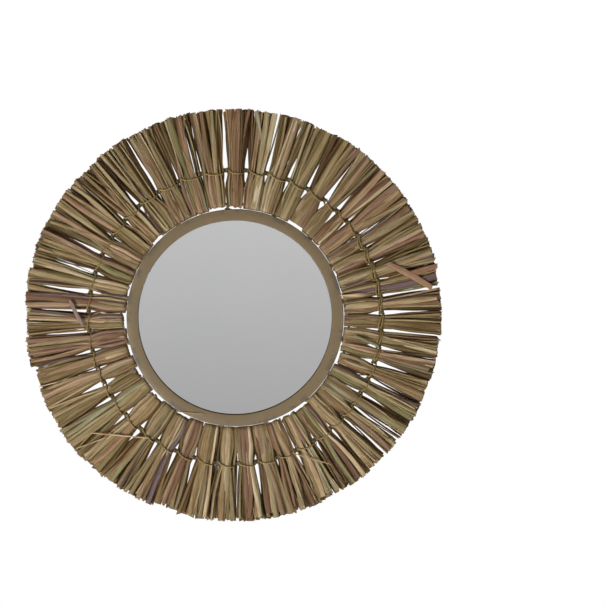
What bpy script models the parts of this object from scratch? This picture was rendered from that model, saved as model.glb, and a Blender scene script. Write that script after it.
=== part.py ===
"""A round wall mirror in a turned steel frame, ringed by tied bundles of dried leaf.

The front faces -Y, the wall is at +Y and +Z is up. The origin is on the wall face of
the hanger plate, on the metal above the keyhole, where the mirror hangs on its screw.
"""
import collections
import math
import random

import bmesh
import bpy
from mathutils import Vector

# Air left between two pieces that touch in the real mirror.
GAP = 0.0003

# The angle in degrees past which an edge of a round piece is shaded sharp.
SHARP_EDGE_ANGLE = 30

# The steel frame: a flat flange in front, and a rim that runs back from it.
FRAME_OUTER_RADIUS = 0.1
FLANGE_WIDTH = 0.0106
FLANGE_THICKNESS = 0.0018
RIM_WALL = 0.0024
FRAME_DEPTH = 0.013
OUTER_EDGE_BREAK = 0.0009
INNER_EDGE_BREAK = 0.0005
FRAME_SEGMENTS = 64

# The glass and the board behind it.
GLASS_THICKNESS = 0.003
BOARD_THICKNESS = 0.003
DISC_SEGMENTS = 60

# The keyhole plate welded on the back edge of the rim, just under its top.
PLATE_WIDTH = 0.0176
PLATE_HEIGHT = 0.028
PLATE_THICKNESS = 0.0015
PLATE_CORNER_RADIUS = 0.002
RIM_ABOVE_PLATE = 0.0014
SCREW_POINT_BELOW_TOP = 0.0024
METAL_ABOVE_SLOT = 0.0048
SLOT_WIDTH = 0.0047
KEYHOLE_RADIUS = 0.00495
KEYHOLE_DROP = 0.0184
SHOULDER_FLARE = 0.0005
CORNER_STEPS = 4
KEYHOLE_STEPS = 18
SLOT_TOP_STEPS = 8

# The wire ring in the leaf folds, and the stubs that join it to the rim.
WIRE_DIAMETER = 0.0025
WIRE_BEHIND_FRONT = 0.0035
WIRE_SIDES = 6
BUNDLES_PER_STUB = 3

# The leaf bundles, clockwise from the top as seen from the front: how many stand
# at one spacing, and that spacing in degrees, before the whole is closed to a circle.
SPACINGS = ((5, 8.25), (4, 6.1), (8, 6.6), (4, 5.9), (12, 8.1), (3, 6.7), (8, 7.7), (4, 9.0))
FIRST_BUNDLE_ANGLE = 0.2
SPACING_JITTER = 0.04
FOLD_TO_RIM = 0.0024
LEAF_LAYER = 0.001
FOLD_LAYERS = 0.0027
FOLD_EDGE_SHARE = 0.8
FOLD_TO_TIE = 0.0275
CROWN_POWER = 2.5
TIE_HALF_DEPTH = 0.004
TIE_EDGE_SHARE = 0.15
TIE_TO_TIPS = 0.0547
TIP_HALF_DEPTH = 0.0085
TIP_EDGE_SHARE = 0.4
LEAF_PITCH = 0.0058
FEWEST_TIPS = 3
NOTCH_DEPTH = 0.016
NOTCH_DEPTH_SHARES = (0.7, 1.1)
NOTCH_THICKNESS = 0.5
TIP_INSET = 0.1
THINNEST_TIP = 0.8
TRIM_OFFSET_X = -0.0016
TRIM_OFFSET_Z = 0.0029
TRIM_OVAL = 0.0012
RAGGED_TOP = 0.0022
RAGGED_BOTTOM = 0.0036
LONG_TIP_SHARE = 0.5
SLANT_SHARE = 0.25
FOLD_UNEVENNESS = 0.0006
FRONT_COLUMNS = 5
BACK_COLUMNS = 3

# The twine round the bundles' waists.
TWINE_DIAMETER = 0.0012
TWINE_SHOULDER = 0.5

SEED = 7

# Depths, counted from the wall face of the hanger plate at y = 0.
RIM_BACK_Y = -PLATE_THICKNESS - GAP
FRONT_Y = RIM_BACK_Y - FRAME_DEPTH
FLANGE_BACK_Y = FRONT_Y + FLANGE_THICKNESS
GLASS_FRONT_Y = FLANGE_BACK_Y + GAP
GLASS_BACK_Y = GLASS_FRONT_Y + GLASS_THICKNESS
BOARD_FRONT_Y = GLASS_BACK_Y + GAP
BOARD_BACK_Y = BOARD_FRONT_Y + BOARD_THICKNESS
WIRE_Y = FRONT_Y + WIRE_BEHIND_FRONT

# Heights of the plate, and the centre that the frame and the wreath share.
PLATE_TOP_Z = SCREW_POINT_BELOW_TOP
CENTRE_Z = PLATE_TOP_Z + RIM_ABOVE_PLATE - FRAME_OUTER_RADIUS
KEYHOLE_Z = PLATE_TOP_Z - KEYHOLE_DROP
SLOT_TOP_Z = PLATE_TOP_Z - METAL_ABOVE_SLOT

# The tunnel through a fold clears the wire, and two strands cross between two waists.
DISC_RADIUS = FRAME_OUTER_RADIUS - RIM_WALL - GAP
WIRE_ROOM = WIRE_DIAMETER / 2 + GAP
NOSE_HALF_DEPTH = WIRE_ROOM + LEAF_LAYER / 2
FOLD_HALF_DEPTH = WIRE_ROOM + FOLD_LAYERS
NOSE_RADIUS = FRAME_OUTER_RADIUS + FOLD_TO_RIM
TIE_RADIUS = NOSE_RADIUS + 2 * (WIRE_ROOM + LEAF_LAYER) + FOLD_TO_TIE
TIE_GAP = 2 * TWINE_DIAMETER + 4 * GAP
STUB_GAP = WIRE_DIAMETER + 2 * GAP

Sector = collections.namedtuple("Sector", "angle half left_gap right_gap")


def clear_scene():
    for item in list(bpy.data.objects):
        bpy.data.objects.remove(item)


def material(name, colour, roughness, metallic):
    finish = bpy.data.materials.new(name)
    finish.use_nodes = True
    shader = finish.node_tree.nodes["Principled BSDF"]
    shader.inputs["Base Color"].default_value = (*colour, 1.0)
    shader.inputs["Roughness"].default_value = roughness
    shader.inputs["Metallic"].default_value = metallic
    return finish


def add_object(name, shape, finish, round_piece=False):
    """Close a bmesh into a named object, with every face turned outwards."""
    bmesh.ops.recalc_face_normals(shape, faces=shape.faces)
    mesh = bpy.data.meshes.new(name)
    shape.to_mesh(mesh)
    shape.free()
    if round_piece:
        mesh.shade_smooth()
        mesh.set_sharp_from_angle(angle=math.radians(SHARP_EDGE_ANGLE))
    item = bpy.data.objects.new(name, mesh)
    bpy.context.collection.objects.link(item)
    if finish is not None:
        mesh.materials.append(finish)
    return item


def add_tool(name, shape, target, operation):
    """A hidden shape that cuts its target, or is joined to it."""
    tool = add_object(name, shape, None)
    tool.hide_render = True
    tool.display_type = "WIRE"
    change = target.modifiers.new(name, "BOOLEAN")
    change.operation = operation
    change.solver = "EXACT"
    change.object = tool


def around(angle, radius, across, depth):
    """A point by its direction from the centre, clockwise from the top, and its depth."""
    outward = Vector((math.sin(angle), 0, math.cos(angle)))
    sideways = Vector((math.cos(angle), 0, -math.sin(angle)))
    return Vector((0, depth, CENTRE_Z)) + outward * radius + sideways * across


def join_loops(shape, first, second):
    """Quads between two closed loops with as many vertices each."""
    for index in range(len(first)):
        following = (index + 1) % len(first)
        shape.faces.new((first[index], first[following], second[following], second[index]))


def bridge(shape, lower, upper):
    """Triangles between two open rows, which may differ in how many vertices they have."""
    below = above = 0
    last_below = len(lower) - 1
    last_above = len(upper) - 1
    while below < last_below or above < last_above:
        step_below = (below + 1) / last_below
        step_above = (above + 1) / last_above
        if above == last_above or (below < last_below and step_below <= step_above):
            shape.faces.new((lower[below], lower[below + 1], upper[above]))
            below += 1
        else:
            shape.faces.new((lower[below], upper[above + 1], upper[above]))
            above += 1


def arc(centre_x, centre_z, radius, start, end, steps):
    """Points along an arc, both ends included."""
    turns = [start + (end - start) * step / steps for step in range(steps + 1)]
    return [(centre_x + radius * math.cos(turn), centre_z + radius * math.sin(turn)) for turn in turns]


def slab(outline, front, back):
    """A flat piece with one outline, between two depths."""
    shape = bmesh.new()
    near = [shape.verts.new((x, front, z)) for x, z in outline]
    far = [shape.verts.new((x, back, z)) for x, z in outline]
    join_loops(shape, near, far)
    shape.faces.new(near)
    shape.faces.new(far)
    return shape


def turned(profile, segments):
    """A ring with a closed profile of radius and depth, turned about the mirror's axis."""
    shape = bmesh.new()
    loops = []
    for segment in range(segments):
        angle = math.tau * segment / segments
        loops.append([shape.verts.new(around(angle, radius, 0, depth)) for radius, depth in profile])
    for segment in range(segments):
        join_loops(shape, loops[segment], loops[(segment + 1) % segments])
    return shape


def disc(radius, front, back):
    steps = [math.tau * step / DISC_SEGMENTS for step in range(DISC_SEGMENTS)]
    outline = [(radius * math.sin(step), CENTRE_Z + radius * math.cos(step)) for step in steps]
    return slab(outline, front, back)


def make_frame(finish):
    flange_edge = FRAME_OUTER_RADIUS - FLANGE_WIDTH
    rim_inside = FRAME_OUTER_RADIUS - RIM_WALL
    profile = [
        (FRAME_OUTER_RADIUS, RIM_BACK_Y),
        (FRAME_OUTER_RADIUS, FRONT_Y + OUTER_EDGE_BREAK),
        (FRAME_OUTER_RADIUS - OUTER_EDGE_BREAK, FRONT_Y),
        (flange_edge + INNER_EDGE_BREAK, FRONT_Y),
        (flange_edge, FRONT_Y + INNER_EDGE_BREAK),
        (flange_edge, FLANGE_BACK_Y),
        (rim_inside, FLANGE_BACK_Y),
        (rim_inside, RIM_BACK_Y),
    ]
    add_object("frame", turned(profile, FRAME_SEGMENTS), finish, round_piece=True)


def plate_outline():
    half = PLATE_WIDTH / 2 - PLATE_CORNER_RADIUS
    top = PLATE_TOP_Z - PLATE_CORNER_RADIUS
    bottom = PLATE_TOP_Z - PLATE_HEIGHT + PLATE_CORNER_RADIUS
    quarter = math.pi / 2
    corners = ((half, top), (-half, top), (-half, bottom), (half, bottom))
    outline = []
    for number, (x, z) in enumerate(corners):
        start = quarter * number
        outline += arc(x, z, PLATE_CORNER_RADIUS, start, start + quarter, CORNER_STEPS)
    return outline


def keyhole_outline():
    """The round part from its right shoulder round the bottom, then the slot above it."""
    half_slot = SLOT_WIDTH / 2
    shoulder = math.asin((half_slot + SHOULDER_FLARE) / KEYHOLE_RADIUS)
    right = math.pi / 2 - shoulder
    left = right + 2 * shoulder - math.tau
    outline = arc(0, KEYHOLE_Z, KEYHOLE_RADIUS, right, left, KEYHOLE_STEPS)
    neck_z = KEYHOLE_Z + KEYHOLE_RADIUS * math.cos(shoulder) + SHOULDER_FLARE
    outline.append((-half_slot, neck_z))
    outline += arc(0, SLOT_TOP_Z - half_slot, half_slot, math.pi, 0, SLOT_TOP_STEPS)
    outline.append((half_slot, neck_z))
    return outline


def make_hanger(finish):
    plate = add_object("hanger_plate", slab(plate_outline(), -PLATE_THICKNESS, 0), finish)
    punch = slab(keyhole_outline(), -2 * PLATE_THICKNESS, PLATE_THICKNESS)
    add_tool("keyhole_punch", punch, plate, "DIFFERENCE")


def make_sectors(rng):
    """Share the circle out among the bundles, with an uneven hand."""
    widths = []
    for count, spacing in SPACINGS:
        widths += [spacing * (1 + rng.uniform(-SPACING_JITTER, SPACING_JITTER)) for _ in range(count)]
    full_turn = math.tau / sum(widths)
    edge = math.radians(FIRST_BUNDLE_ANGLE) - widths[0] * full_turn / 2
    sectors = []
    for number, width in enumerate(widths):
        half = width * full_turn / 2
        left_gap = STUB_GAP if number % BUNDLES_PER_STUB == 0 else GAP
        right_gap = STUB_GAP if (number + 1) % BUNDLES_PER_STUB == 0 else GAP
        if number + 1 == len(widths):
            right_gap = STUB_GAP
        sectors.append(Sector(edge + half, half, left_gap, right_gap))
        edge += 2 * half
    return sectors


def wire_corner_radius(sectors):
    """The wire bends between bundles, so that it runs straight through every fold."""
    widest = max(sector.half for sector in sectors)
    return (NOSE_RADIUS + LEAF_LAYER + WIRE_ROOM) / math.cos(widest)


def make_wire(sectors, finish):
    corner_radius = wire_corner_radius(sectors)
    turns = [math.tau * side / WIRE_SIDES for side in range(WIRE_SIDES)]
    section = [(math.cos(turn) * WIRE_DIAMETER / 2, math.sin(turn) * WIRE_DIAMETER / 2) for turn in turns]
    ring = bmesh.new()
    stubs = bmesh.new()
    loops = []
    for sector in sectors:
        edge = sector.angle - sector.half
        points = [around(edge, corner_radius + out, 0, WIRE_Y + back) for out, back in section]
        loops.append([ring.verts.new(point) for point in points])
        if sector.left_gap == STUB_GAP:
            ends = []
            for radius in (FRAME_OUTER_RADIUS + GAP, corner_radius):
                points = [around(edge, radius, side, WIRE_Y + back) for side, back in section]
                ends.append([stubs.verts.new(point) for point in points])
            join_loops(stubs, *ends)
            stubs.faces.new(ends[0])
            stubs.faces.new(ends[1])
    for number, loop in enumerate(loops):
        join_loops(ring, loop, loops[(number + 1) % len(loops)])
    wire = add_object("leaf_wire", ring, finish, round_piece=True)
    add_tool("wire_stubs", stubs, wire, "UNION")


def room(sector, radius, gap):
    """Half the width that a sector leaves at a radius, with half a gap kept at its edge."""
    return radius * math.tan(sector.half) - gap / 2 / math.cos(sector.half)


def body_row(sector, radius, gaps, half_depth, edge_share, columns, side):
    """Points across a bundle's front or back, thinner towards its edges."""
    left = room(sector, radius, gaps[0])
    right = room(sector, radius, gaps[1])
    points = []
    for column in range(columns):
        across = 2 * column / (columns - 1) - 1
        crown = 1 - (1 - edge_share) * abs(across) ** CROWN_POWER
        width = right if across > 0 else left
        points.append((radius, across * width, WIRE_Y + side * half_depth * crown))
    return points


def trimmed_reach(angle):
    """The tips are cut to a slightly wide round, a little off the frame's centre."""
    reach = TIE_RADIUS + TIE_TO_TIPS - TRIM_OVAL * math.cos(2 * angle)
    return reach + TRIM_OFFSET_X * math.sin(angle) + TRIM_OFFSET_Z * math.cos(angle)


def leaf_tips(sector, rng):
    """Corners of the cut leaf tips and the notches between them: share of width, radius, depth."""
    reach = trimmed_reach(sector.angle)
    leaves = max(FEWEST_TIPS, round(2 * room(sector, reach, GAP) / LEAF_PITCH))
    low = (1 - math.cos(sector.angle)) / 2
    ragged = RAGGED_TOP + (RAGGED_BOTTOM - RAGGED_TOP) * low
    points = []
    for leaf in range(leaves):
        length = reach + rng.uniform(-ragged, ragged * LONG_TIP_SHARE)
        slant = rng.uniform(-ragged, ragged) * SLANT_SHARE
        thick = rng.uniform(THINNEST_TIP, 1.0)
        if leaf:
            notch = NOTCH_DEPTH * rng.uniform(*NOTCH_DEPTH_SHARES)
            points.append((leaf / leaves, reach - notch, thick * NOTCH_THICKNESS))
        inset = TIP_INSET / leaves
        left = leaf / leaves + (inset if leaf else 0)
        right = (leaf + 1) / leaves - (inset if leaf + 1 < leaves else 0)
        points.append((left, length - slant, thick))
        points.append((right, length + slant, thick))
    return points


def tip_row(sector, tips, side):
    points = []
    for share, radius, thick in tips:
        half_width = room(sector, radius, GAP)
        across = 2 * share - 1
        crown = 1 - (1 - TIP_EDGE_SHARE) * across * across
        points.append((radius, across * half_width, WIRE_Y + side * TIP_HALF_DEPTH * crown * thick))
    return points


def make_bundle(name, sector, rng, finish, corner_radius):
    """Leaves folded over the wire, tied at a waist, and fanned out to their cut tips."""
    shape = bmesh.new()
    tunnel_radius = corner_radius * math.cos(sector.half)
    fold_gaps = (sector.left_gap, sector.right_gap)
    stations = (
        (tunnel_radius - WIRE_ROOM - LEAF_LAYER, fold_gaps, NOSE_HALF_DEPTH, 1.0),
        (tunnel_radius + WIRE_ROOM + LEAF_LAYER, fold_gaps, FOLD_HALF_DEPTH, FOLD_EDGE_SHARE),
        (TIE_RADIUS, (TIE_GAP, TIE_GAP), TIE_HALF_DEPTH, TIE_EDGE_SHARE),
    )
    tips = leaf_tips(sector, rng)
    sides = []
    for side, columns in ((-1, FRONT_COLUMNS), (1, BACK_COLUMNS)):
        rows = [body_row(sector, *station, columns, side) for station in stations]
        rows.append(tip_row(sector, tips, side))
        uneven = [rng.uniform(0, FOLD_UNEVENNESS) for _ in range(columns)]
        rows[0] = [(r - extra, t, y) for (r, t, y), extra in zip(rows[0], uneven)]
        rows[1] = [(r, t, y + side * extra) for (r, t, y), extra in zip(rows[1], uneven)]
        sides.append([[shape.verts.new(around(sector.angle, *point)) for point in row] for row in rows])
    front, back = sides
    for rows in sides:
        for lower, upper in zip(rows, rows[1:]):
            bridge(shape, lower, upper)
    bridge(shape, front[0], back[0])
    bridge(shape, front[-1], back[-1])
    tunnel = []
    for end, gap, sign in ((0, sector.left_gap, -1), (-1, sector.right_gap, 1)):
        corners = []
        for out, depth in ((-1, -1), (1, -1), (1, 1), (-1, 1)):
            radius = tunnel_radius + out * WIRE_ROOM
            across = sign * room(sector, radius, gap)
            point = around(sector.angle, radius, across, WIRE_Y + depth * WIRE_ROOM)
            corners.append(shape.verts.new(point))
        tunnel.append(corners)
        join_loops(shape, (front[0][end], front[1][end], back[1][end], back[0][end]), corners)
        for lower in (1, 2):
            upper = lower + 1
            shape.faces.new((front[lower][end], front[upper][end], back[upper][end], back[lower][end]))
    join_loops(shape, *tunnel)
    add_object(name, shape, finish)


def make_twine(sectors, finish):
    """Two strands, in front of and behind every waist, that cross between the waists."""
    shape = bmesh.new()
    half = TWINE_DIAMETER / 2
    over = TIE_HALF_DEPTH + GAP
    crossings = []
    for sector in sectors:
        edge = sector.angle - sector.half
        ends = []
        for across in (-half, half):
            section = ((0, -TWINE_DIAMETER), (half, 0), (0, TWINE_DIAMETER), (-half, 0))
            points = [around(edge, TIE_RADIUS + out, across, WIRE_Y + back) for out, back in section]
            ends.append([shape.verts.new(point) for point in points])
        join_loops(shape, *ends)
        crossings.append(ends)
    for number, sector in enumerate(sectors):
        start = crossings[number][1]
        finish_end = crossings[(number + 1) % len(sectors)][0]
        for side, apex in ((-1, 0), (1, 2)):
            chain = [(start[apex], start[1], start[3])]
            for direction in (-1, 1):
                across = direction * TWINE_SHOULDER * room(sector, TIE_RADIUS, TIE_GAP)
                section = ((0, over + TWINE_DIAMETER), (half, over), (-half, over))
                points = [around(sector.angle, TIE_RADIUS + out, across, WIRE_Y + side * back)
                          for out, back in section]
                chain.append([shape.verts.new(point) for point in points])
            chain.append((finish_end[apex], finish_end[1], finish_end[3]))
            for first, second in zip(chain, chain[1:]):
                join_loops(shape, first, second)
    add_object("twine", shape, finish)


clear_scene()
taupe_paint = material("taupe_paint", (0.235, 0.175, 0.103), 0.45, 0.3)
silvered_glass = material("silvered_glass", (0.78, 0.79, 0.78), 0.03, 1.0)
hardboard = material("hardboard", (0.23, 0.133, 0.078), 0.75, 0.0)
dried_leaf = material("dried_leaf", (0.27, 0.225, 0.115), 0.7, 0.0)
olive_twine = material("olive_twine", (0.2, 0.165, 0.06), 0.85, 0.0)

make_frame(taupe_paint)
add_object("mirror_glass", disc(DISC_RADIUS, GLASS_FRONT_Y, GLASS_BACK_Y), silvered_glass, True)
add_object("back_board", disc(DISC_RADIUS, BOARD_FRONT_Y, BOARD_BACK_Y), hardboard, True)
make_hanger(taupe_paint)
hand = random.Random(SEED)
wreath_sectors = make_sectors(hand)
make_wire(wreath_sectors, taupe_paint)
ring_corner = wire_corner_radius(wreath_sectors)
for bundle_number, bundle_sector in enumerate(wreath_sectors, start=1):
    make_bundle(f"bundle_{bundle_number:02d}", bundle_sector, hand, dried_leaf, ring_corner)
make_twine(wreath_sectors, olive_twine)
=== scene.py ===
import math
import random

import bmesh
import bpy
import numpy as np
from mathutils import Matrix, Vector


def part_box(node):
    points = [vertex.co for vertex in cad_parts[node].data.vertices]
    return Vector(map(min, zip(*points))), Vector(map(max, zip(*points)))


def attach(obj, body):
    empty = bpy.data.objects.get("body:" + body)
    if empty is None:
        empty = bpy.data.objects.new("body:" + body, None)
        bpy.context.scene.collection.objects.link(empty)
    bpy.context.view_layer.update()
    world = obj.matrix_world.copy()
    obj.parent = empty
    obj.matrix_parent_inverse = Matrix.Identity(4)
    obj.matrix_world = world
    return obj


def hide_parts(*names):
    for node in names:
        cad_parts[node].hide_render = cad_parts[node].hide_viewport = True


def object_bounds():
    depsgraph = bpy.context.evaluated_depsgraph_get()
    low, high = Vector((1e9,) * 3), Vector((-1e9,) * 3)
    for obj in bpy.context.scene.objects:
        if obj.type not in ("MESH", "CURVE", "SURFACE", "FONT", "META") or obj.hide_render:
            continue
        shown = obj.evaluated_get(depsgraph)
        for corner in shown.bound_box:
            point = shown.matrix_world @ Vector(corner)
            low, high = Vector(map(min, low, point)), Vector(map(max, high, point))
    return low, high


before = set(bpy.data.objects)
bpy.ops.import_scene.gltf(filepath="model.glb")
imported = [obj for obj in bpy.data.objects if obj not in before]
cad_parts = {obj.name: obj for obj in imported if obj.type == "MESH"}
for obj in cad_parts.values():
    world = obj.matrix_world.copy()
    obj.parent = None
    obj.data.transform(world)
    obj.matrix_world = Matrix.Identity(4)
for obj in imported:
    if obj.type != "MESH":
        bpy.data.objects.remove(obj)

cad_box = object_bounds()

# The frame is one steel ring with a flat flange over the glass and a rim that runs back
# to the wall. It is welded, ground smooth and powder coated in a satin taupe.
FLANGE_WIDTH = 0.0106
FLANGE_THICKNESS = 0.0018
RIM_WALL = 0.0024
FRAME_TURNS = 192
OUTER_ROUNDING = 0.0009
INNER_ROUNDING = 0.0005
ROUNDING_STEPS = 4
TAUPE = (0.121, 0.081, 0.034, 1)
TAUPE_SHADE = (0.103, 0.069, 0.029, 1)
# Faint dark smudges near the frame's outer edge: their colour, reach, scale, range and strength.
EDGE_BLOT_COLOUR = (0.034, 0.026, 0.017, 1)
EDGE_BLOT_REACH = (0.0056, 0.0024)
EDGE_BLOT_SCALE = 105
EDGE_BLOT_RANGE = (0.51, 0.59)
EDGE_BLOT_STRENGTH = 0.6
BARE_STEEL = (0.42, 0.4, 0.37, 1)
TAUPE_ROUGHNESS = (0.4, 0.56)
MOTTLE_SPAN = (0.35, 0.65)
COAT_MOTTLE_SCALE = 38
COAT_GRAIN_SCALE = 1500
COAT_GRAIN_DEPTH = 0.12
COAT_GRAIN_HEIGHT = 0.0003
CHIP_SCALE = 330
CHIP_RANGE = (0.69, 0.71)

frame_low, frame_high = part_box("frame")
frame_radius = (frame_high[0] - frame_low[0]) / 2
frame_front = frame_low[1]
frame_back = frame_high[1]
centre_z = (frame_low[2] + frame_high[2]) / 2


def around(angle, radius, across=0.0, depth=0.0):
    """A point by its direction, clockwise from the top, its distance out and its depth."""
    x = math.sin(angle) * radius + math.cos(angle) * across
    z = math.cos(angle) * radius - math.sin(angle) * across
    return (x, depth, centre_z + z)


def add_object(name, data):
    item = bpy.data.objects.new(name, data)
    bpy.context.collection.objects.link(item)
    return item


def new_piece(name, vertices, faces, sharp=35):
    """A closed mesh object, turned face out and shaded smooth up to its sharp edges."""
    mesh = bpy.data.meshes.new(name)
    mesh.from_pydata(vertices, [], faces)
    shape = bmesh.new()
    shape.from_mesh(mesh)
    bmesh.ops.recalc_face_normals(shape, faces=shape.faces)
    shape.to_mesh(mesh)
    shape.free()
    mesh.shade_smooth()
    mesh.set_sharp_from_angle(angle=math.radians(sharp))
    return add_object(name, mesh)


def loops_to_faces(rings, size, closed, start=0):
    """Quads between rings of vertices that follow each other, with end caps if open."""
    faces = []
    count = rings if closed else rings - 1
    for ring in range(count):
        this = start + ring * size
        after = start + (ring + 1) % rings * size
        for corner in range(size):
            turn = (corner + 1) % size
            faces.append((this + corner, this + turn, after + turn, after + corner))
    if not closed:
        faces.append(tuple(range(start, start + size)))
        faces.append(tuple(range(start + (rings - 1) * size, start + rings * size)))
    return faces


def quarter_round(centre_r, centre_y, radius, start):
    steps = [start + math.pi / 2 * step / ROUNDING_STEPS for step in range(ROUNDING_STEPS + 1)]
    return [(centre_r + radius * math.cos(turn), centre_y + radius * math.sin(turn)) for turn in steps]


def frame_profile():
    flange_edge = frame_radius - FLANGE_WIDTH
    rim_inside = frame_radius - RIM_WALL
    flange_back = frame_front + FLANGE_THICKNESS
    quarter = math.pi / 2
    rim_end = frame_back - INNER_ROUNDING
    profile = quarter_round(frame_radius - INNER_ROUNDING, rim_end, INNER_ROUNDING, 0)
    profile += quarter_round(rim_inside + INNER_ROUNDING, rim_end, INNER_ROUNDING, quarter)
    profile += [(rim_inside, flange_back), (flange_edge, flange_back)]
    profile += quarter_round(flange_edge + INNER_ROUNDING, frame_front + INNER_ROUNDING,
                             INNER_ROUNDING, 2 * quarter)
    profile += quarter_round(frame_radius - OUTER_ROUNDING, frame_front + OUTER_ROUNDING,
                             OUTER_ROUNDING, 3 * quarter)
    return profile


def add_node(tree, kind, inputs=None, **settings):
    """A shader node with its settings, and its sockets set or linked."""
    made = tree.nodes.new(kind)
    for key, value in settings.items():
        setattr(made, key, value)
    for key, value in (inputs or {}).items():
        if isinstance(value, bpy.types.NodeSocket):
            tree.links.new(value, made.inputs[key])
        else:
            made.inputs[key].default_value = value
    return made


def spread(tree, value, low, high, start=0.3, end=0.7):
    """A noise value stretched from its own middle range to a new range."""
    limits = {"Value": value, "From Min": start, "From Max": end, "To Min": low, "To Max": high}
    return add_node(tree, "ShaderNodeMapRange", limits).outputs[0]


def blend_colours(tree, factor, first, second, way="MIX"):
    sockets = {0: factor, 6: first, 7: second}
    return add_node(tree, "ShaderNodeMix", sockets, data_type="RGBA", blend_type=way).outputs[2]


def calculate(tree, operation, first, second):
    return add_node(tree, "ShaderNodeMath", {0: first, 1: second}, operation=operation).outputs[0]


def object_place(tree):
    return add_node(tree, "ShaderNodeTexCoord").outputs["Object"]


def add_noise(tree, place, scale, detail):
    inputs = {"Vector": place, "Scale": scale, "Detail": detail}
    return add_node(tree, "ShaderNodeTexNoise", inputs).outputs[0]


def add_relief(tree, shader, height, strength, distance):
    """Small unevenness of a surface, seen only in how it takes the light."""
    bump = add_node(tree, "ShaderNodeBump", {"Height": height, "Strength": strength, "Distance": distance})
    tree.links.new(bump.outputs[0], shader.inputs["Normal"])


def shader_group(name, inputs, outputs):
    """An empty node group with named sockets."""
    tree = bpy.data.node_groups.new(name, "ShaderNodeTree")
    for label, kind in inputs:
        tree.interface.new_socket(label, in_out="INPUT", socket_type=kind)
    for label, kind in outputs:
        tree.interface.new_socket(label, in_out="OUTPUT", socket_type=kind)
    return tree, tree.nodes.new("NodeGroupInput"), tree.nodes.new("NodeGroupOutput")


def make_uneven_group():
    """Broad mottling of a colour, with fine grain for the roughness and the relief."""
    tree, given, result = shader_group(
        "uneven_surface",
        (("Colour", "NodeSocketColor"), ("Shade", "NodeSocketColor"), ("Mottle Scale", "NodeSocketFloat"),
         ("Grain Scale", "NodeSocketFloat")),
        (("Colour", "NodeSocketColor"), ("Grain", "NodeSocketFloat"), ("Mottle", "NodeSocketFloat")),
    )
    place = object_place(tree)
    mottle = add_noise(tree, place, given.outputs["Mottle Scale"], 5.0)
    grain = add_noise(tree, place, given.outputs["Grain Scale"], 3.0)
    wide = spread(tree, mottle, 0, 1, *MOTTLE_SPAN)
    colour = blend_colours(tree, wide, given.outputs["Colour"], given.outputs["Shade"])
    tree.links.new(colour, result.inputs["Colour"])
    tree.links.new(grain, result.inputs["Grain"])
    tree.links.new(mottle, result.inputs["Mottle"])
    return tree


uneven_surface = make_uneven_group()


def make_chips_group():
    """Where a coat is chipped: scattered small spots, whose strength is the amount."""
    tree, given, result = shader_group(
        "coat_chips", (("Amount", "NodeSocketFloat"), ("Chip Scale", "NodeSocketFloat")),
        (("Mask", "NodeSocketFloat"),),
    )
    wear = add_noise(tree, object_place(tree), given.outputs["Chip Scale"], 6.0)
    spots = spread(tree, wear, 0, 1, *CHIP_RANGE)
    mask = calculate(tree, "MULTIPLY", spots, given.outputs["Amount"])
    tree.links.new(mask, result.inputs["Mask"])
    return tree


coat_chips = make_chips_group()


def use_group(tree, group, values):
    made = tree.nodes.new("ShaderNodeGroup")
    made.node_tree = group
    for key, value in values.items():
        made.inputs[key].default_value = value
    return made.outputs


def use_uneven(tree, colour, painted_layer_shade, mottle_scale, grain_scale):
    values = {"Colour": colour, "Shade": painted_layer_shade, "Mottle Scale": mottle_scale, "Grain Scale": grain_scale}
    return use_group(tree, uneven_surface, values)


def new_material(name):
    finish = bpy.data.materials.new(name)
    finish.use_nodes = True
    return finish, finish.node_tree, finish.node_tree.nodes["Principled BSDF"]


def painted_steel(name, chips):
    """Powder coat with a fine orange peel, chipped to bare steel where chips is above 0."""
    finish, tree, shader = new_material(name)
    surface = use_uneven(tree, TAUPE, TAUPE_SHADE, COAT_MOTTLE_SCALE, COAT_GRAIN_SCALE)
    bare = use_group(tree, coat_chips, {"Amount": chips, "Chip Scale": CHIP_SCALE})["Mask"]
    tree.links.new(blend_colours(tree, bare, surface["Colour"], BARE_STEEL), shader.inputs["Base Color"])
    tree.links.new(bare, shader.inputs["Metallic"])
    tree.links.new(spread(tree, surface["Mottle"], *TAUPE_ROUGHNESS), shader.inputs["Roughness"])
    add_relief(tree, shader, surface["Grain"], COAT_GRAIN_DEPTH, COAT_GRAIN_HEIGHT)
    return finish


def make_distance_group():
    """How far a point of a surface is from the mirror's axis."""
    tree, given, result = shader_group(
        "distance_from_axis", (("Axis Height", "NodeSocketFloat"),), (("Distance", "NodeSocketFloat"),),
    )
    parts = add_node(tree, "ShaderNodeSeparateXYZ", {0: object_place(tree)}).outputs
    height = calculate(tree, "SUBTRACT", parts[2], given.outputs["Axis Height"])
    flat = add_node(tree, "ShaderNodeCombineXYZ", {0: parts[0], 2: height}).outputs[0]
    length = add_node(tree, "ShaderNodeVectorMath", {0: flat}, operation="LENGTH").outputs["Value"]
    tree.links.new(length, result.inputs["Distance"])
    return tree


distance_from_axis = make_distance_group()


def edge_blotched_paint():
    """The frame's coat, with faint dark smudges near its outer edge."""
    finish = painted_steel("taupe_frame_paint", 0.0)
    tree = finish.node_tree
    colour_socket = tree.nodes["Principled BSDF"].inputs["Base Color"]
    clean = colour_socket.links[0].from_socket
    smudges = add_noise(tree, object_place(tree), EDGE_BLOT_SCALE, 4.0)
    blots = spread(tree, smudges, 0, EDGE_BLOT_STRENGTH, *EDGE_BLOT_RANGE)
    reach = use_group(tree, distance_from_axis, {"Axis Height": centre_z})["Distance"]
    edge = spread(tree, reach, 0, 1, frame_radius - EDGE_BLOT_REACH[0], frame_radius - EDGE_BLOT_REACH[1])
    edge_blots = calculate(tree, "MULTIPLY", blots, edge)
    tree.links.new(blend_colours(tree, edge_blots, clean, EDGE_BLOT_COLOUR), colour_socket)
    return finish


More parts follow.
